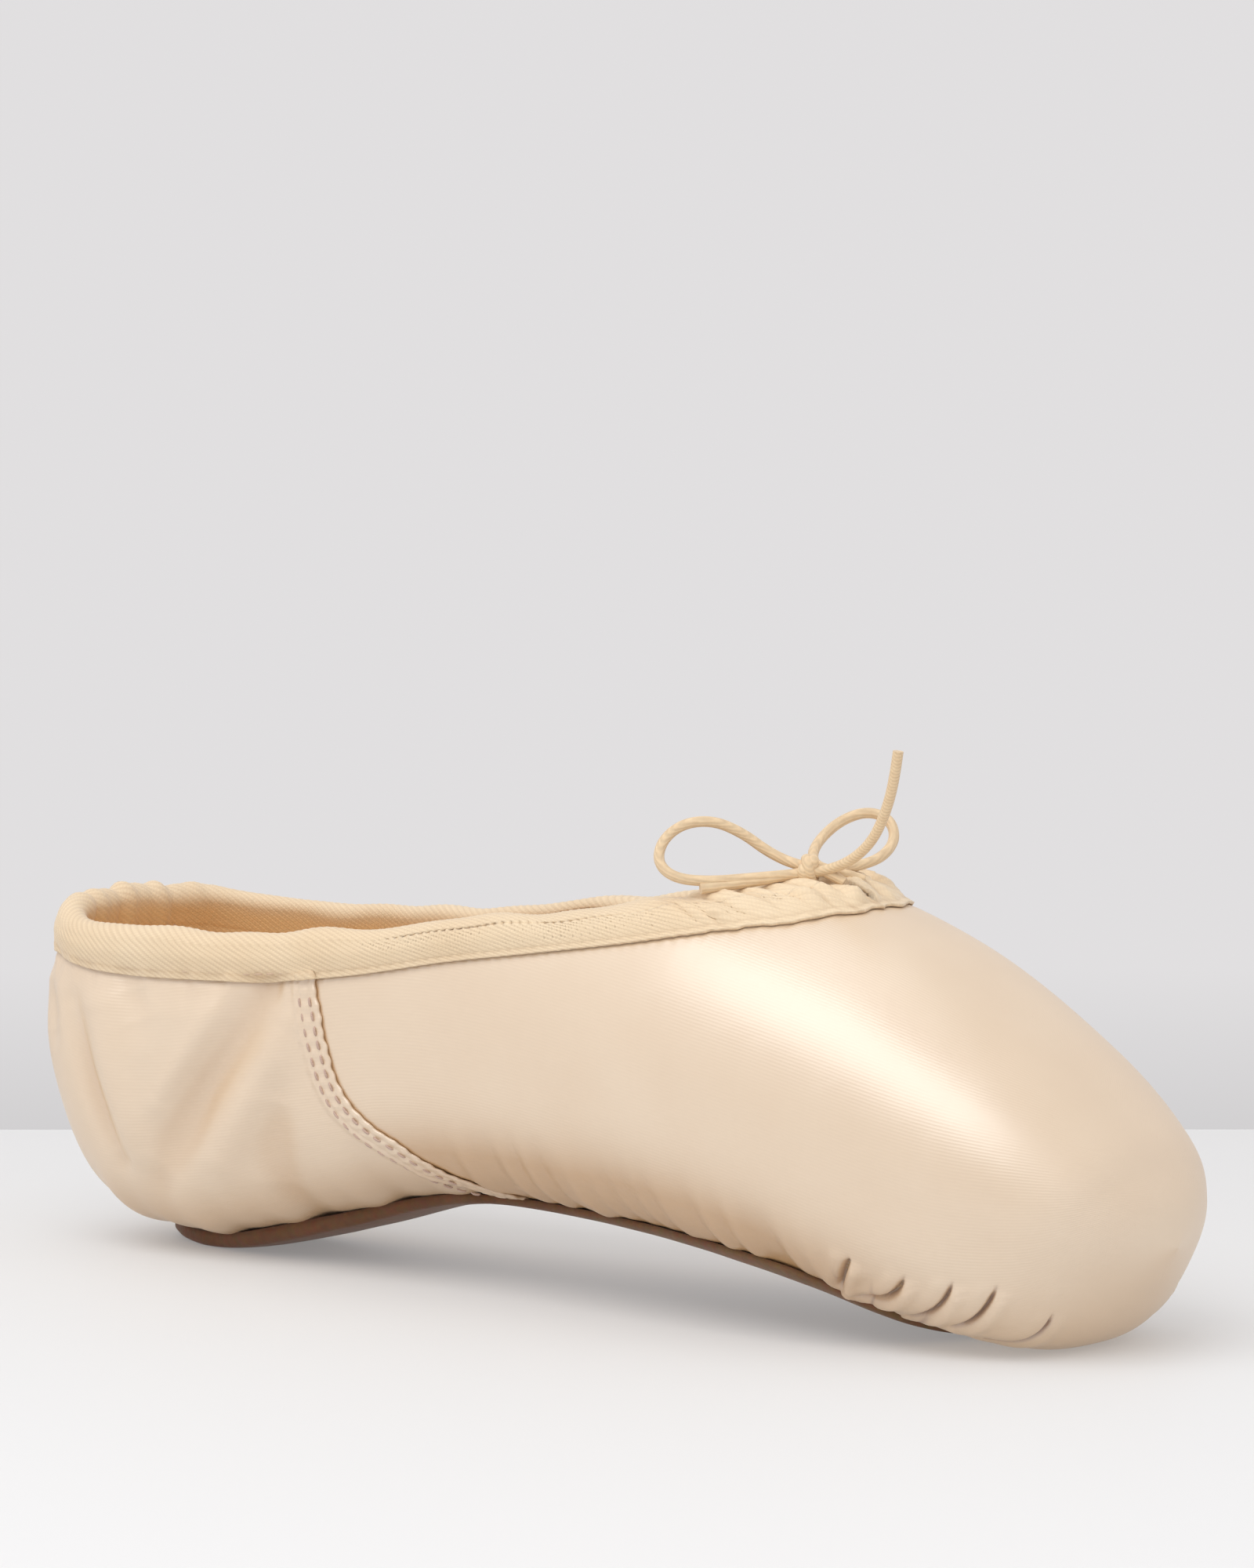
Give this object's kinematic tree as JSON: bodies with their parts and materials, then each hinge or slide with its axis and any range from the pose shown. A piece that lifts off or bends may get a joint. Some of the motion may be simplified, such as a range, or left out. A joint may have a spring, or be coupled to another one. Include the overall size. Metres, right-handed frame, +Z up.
{
  "type": "ballet slipper",
  "caption": "Satin ballet slipper with a stiff toe box, folded binding with a tied drawstring bow, side seams and a short leather outsole; it bends at the ball.",
  "frame": {"origin": "on the floor, under the middle of the shoe", "axes": "+X to the toe, +Y to the wearer's left, +Z up"},
  "size_m": [0.2335, 0.0698, 0.096],
  "materials": {
    "satin": "satin weave",
    "lining_cotton": "plain cotton",
    "pasted_box": "hardened paste and burlap",
    "shank_leather": "pressed leather board",
    "insole_card": "card board",
    "sock_cotton": "brushed cotton",
    "outsole_leather": "split leather",
    "binding_twill": "twill tape",
    "elastic_cord": "round covered elastic",
    "thread": "spun thread"
  },
  "bodies": {
    "forefoot": {"satin_vamp": "satin", "vamp_lining": "lining_cotton", "toe_box": "pasted_box"},
    "rearfoot": {"satin_quarter_left": "satin", "satin_quarter_right": "satin", "quarter_lining_left": "lining_cotton", "quarter_lining_right": "lining_cotton", "shank_board": "shank_leather", "insole_board": "insole_card", "sock_lining": "sock_cotton", "outsole": "outsole_leather", "back_seam_tape": "binding_twill", "topline_binding": "binding_twill", "drawstring": "elastic_cord", "bow_cord_left": "elastic_cord", "bow_cord_right": "elastic_cord", "bow_knot": "elastic_cord", "binding_stitching_outer": "thread", "binding_stitching_inner": "thread", "side_seam_stitching_left": "thread", "side_seam_stitching_right": "thread", "back_seam_stitching": "thread"}
  },
  "joints": [
    {"name": "demi_pointe_flex", "type": "hinge", "parent": "forefoot", "child": "rearfoot", "pos_m": [0.0505, 0, 0.007], "axis": [0, 1, 0], "range_deg": [0, 15], "stiffness_Nm_per_rad": 2.5, "deforming": ["satin_vamp", "vamp_lining", "insole_board", "sock_lining", "outsole"]}
  ]
}
